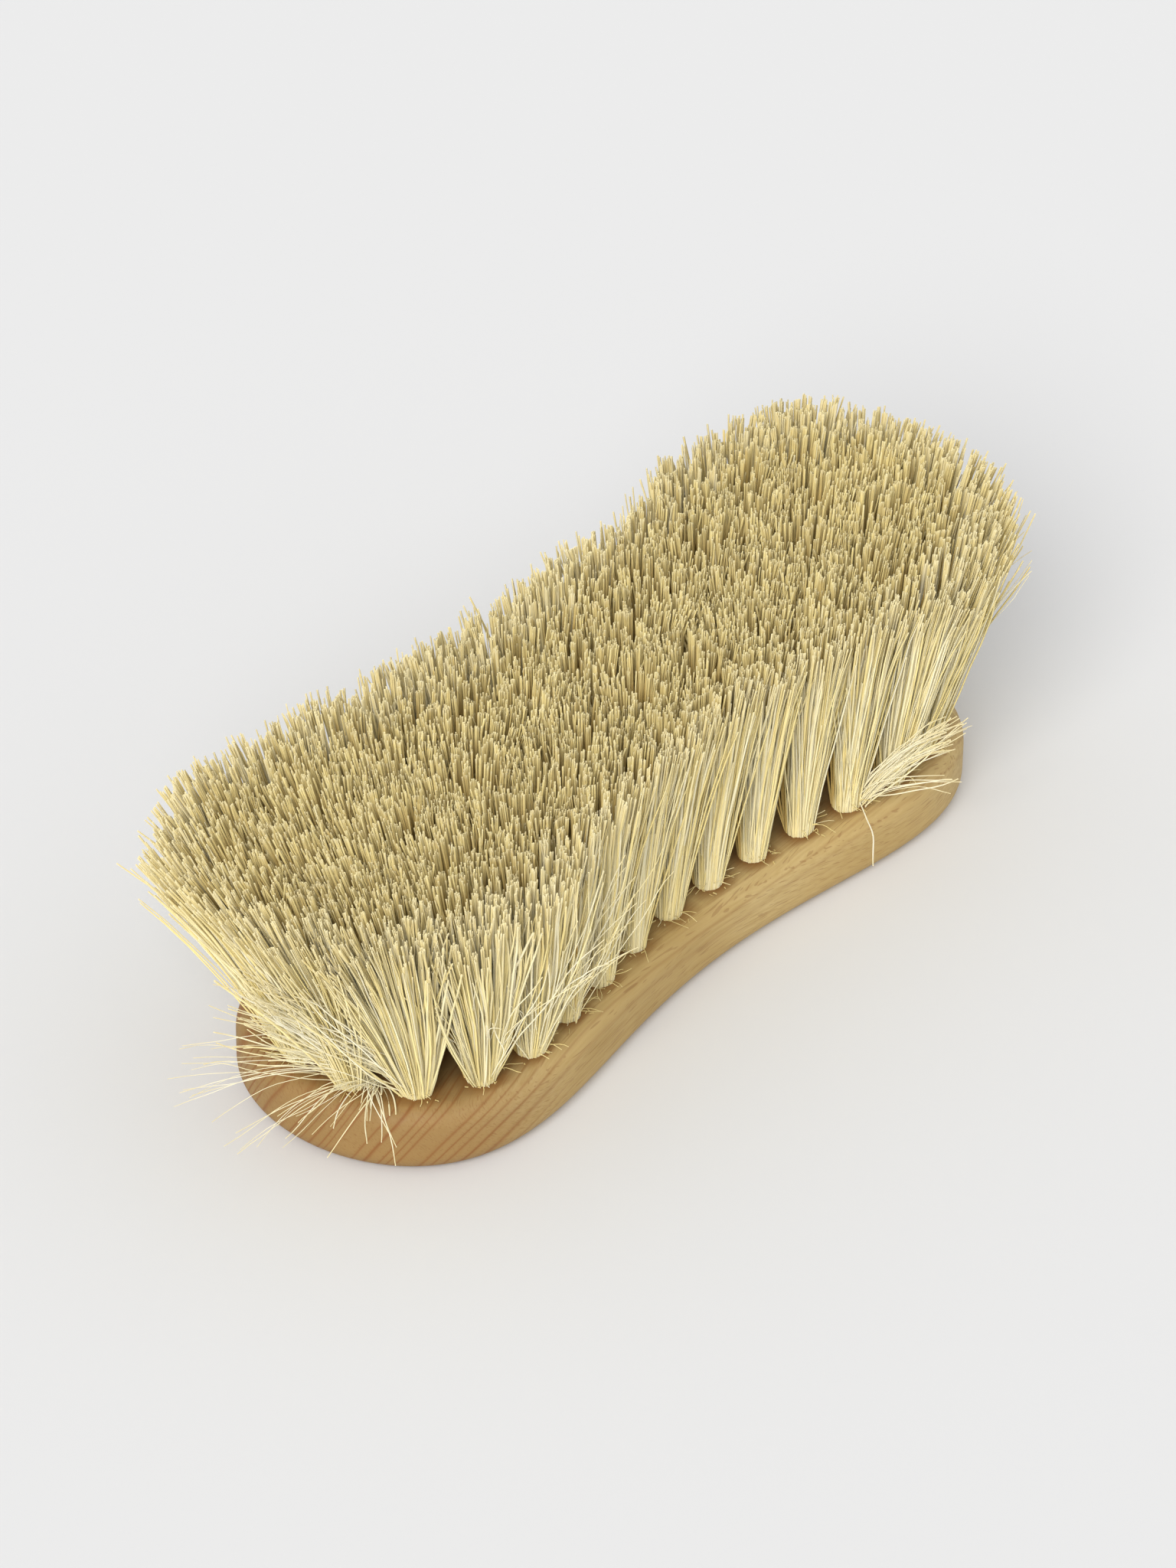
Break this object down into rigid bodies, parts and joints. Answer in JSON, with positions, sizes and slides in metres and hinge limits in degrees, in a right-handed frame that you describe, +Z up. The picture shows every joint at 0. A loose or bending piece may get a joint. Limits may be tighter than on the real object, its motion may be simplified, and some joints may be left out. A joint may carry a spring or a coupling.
{
  "type": "horse grooming brush",
  "caption": "Waisted wooden hand brush for grooming: long pale natural-fibre tufts set in blind holes fill one face and splay outwards at the edge.",
  "frame": {"origin": "middle of the flat grip face that the brush lies on, with the bristles up", "axes": "+X along the back, +Y across it, +Z up, out of the bristle face"},
  "size_m": [0.2405, 0.108, 0.0678],
  "materials": {
    "back": "oiled beech, satin",
    "bristles": "natural plant fibre, cream, dry and slightly glossy along the fibre"
  },
  "bodies": {
    "root": {"beech_back": "back", "tuft_core_01": "bristles", "tuft_core_02": "bristles", "tuft_core_03": "bristles", "tuft_core_04": "bristles", "tuft_middle_01": "bristles", "tuft_middle_02": "bristles", "tuft_middle_03": "bristles", "tuft_middle_04": "bristles", "tuft_middle_05": "bristles", "tuft_middle_06": "bristles", "tuft_middle_07": "bristles", "tuft_middle_08": "bristles", "tuft_middle_09": "bristles", "tuft_middle_10": "bristles", "tuft_middle_11": "bristles", "tuft_middle_12": "bristles", "tuft_middle_13": "bristles", "tuft_middle_14": "bristles", "tuft_middle_15": "bristles", "tuft_middle_16": "bristles", "tuft_middle_17": "bristles", "tuft_middle_18": "bristles", "tuft_middle_19": "bristles", "tuft_middle_20": "bristles", "tuft_middle_21": "bristles", "tuft_middle_22": "bristles", "tuft_outer_01": "bristles", "tuft_outer_02": "bristles", "tuft_outer_03": "bristles", "tuft_outer_04": "bristles", "tuft_outer_05": "bristles", "tuft_outer_06": "bristles", "tuft_outer_07": "bristles", "tuft_outer_08": "bristles", "tuft_outer_09": "bristles", "tuft_outer_10": "bristles", "tuft_outer_11": "bristles", "tuft_outer_12": "bristles", "tuft_outer_13": "bristles", "tuft_outer_14": "bristles", "tuft_outer_15": "bristles", "tuft_outer_16": "bristles", "tuft_outer_17": "bristles", "tuft_outer_18": "bristles", "tuft_outer_19": "bristles", "tuft_outer_20": "bristles", "tuft_outer_21": "bristles", "tuft_outer_22": "bristles", "tuft_outer_23": "bristles", "tuft_outer_24": "bristles", "tuft_outer_25": "bristles", "tuft_outer_26": "bristles", "tuft_outer_27": "bristles", "tuft_outer_28": "bristles", "tuft_outer_29": "bristles", "tuft_outer_30": "bristles", "tuft_outer_31": "bristles", "tuft_outer_32": "bristles"}
  },
  "joints": []
}
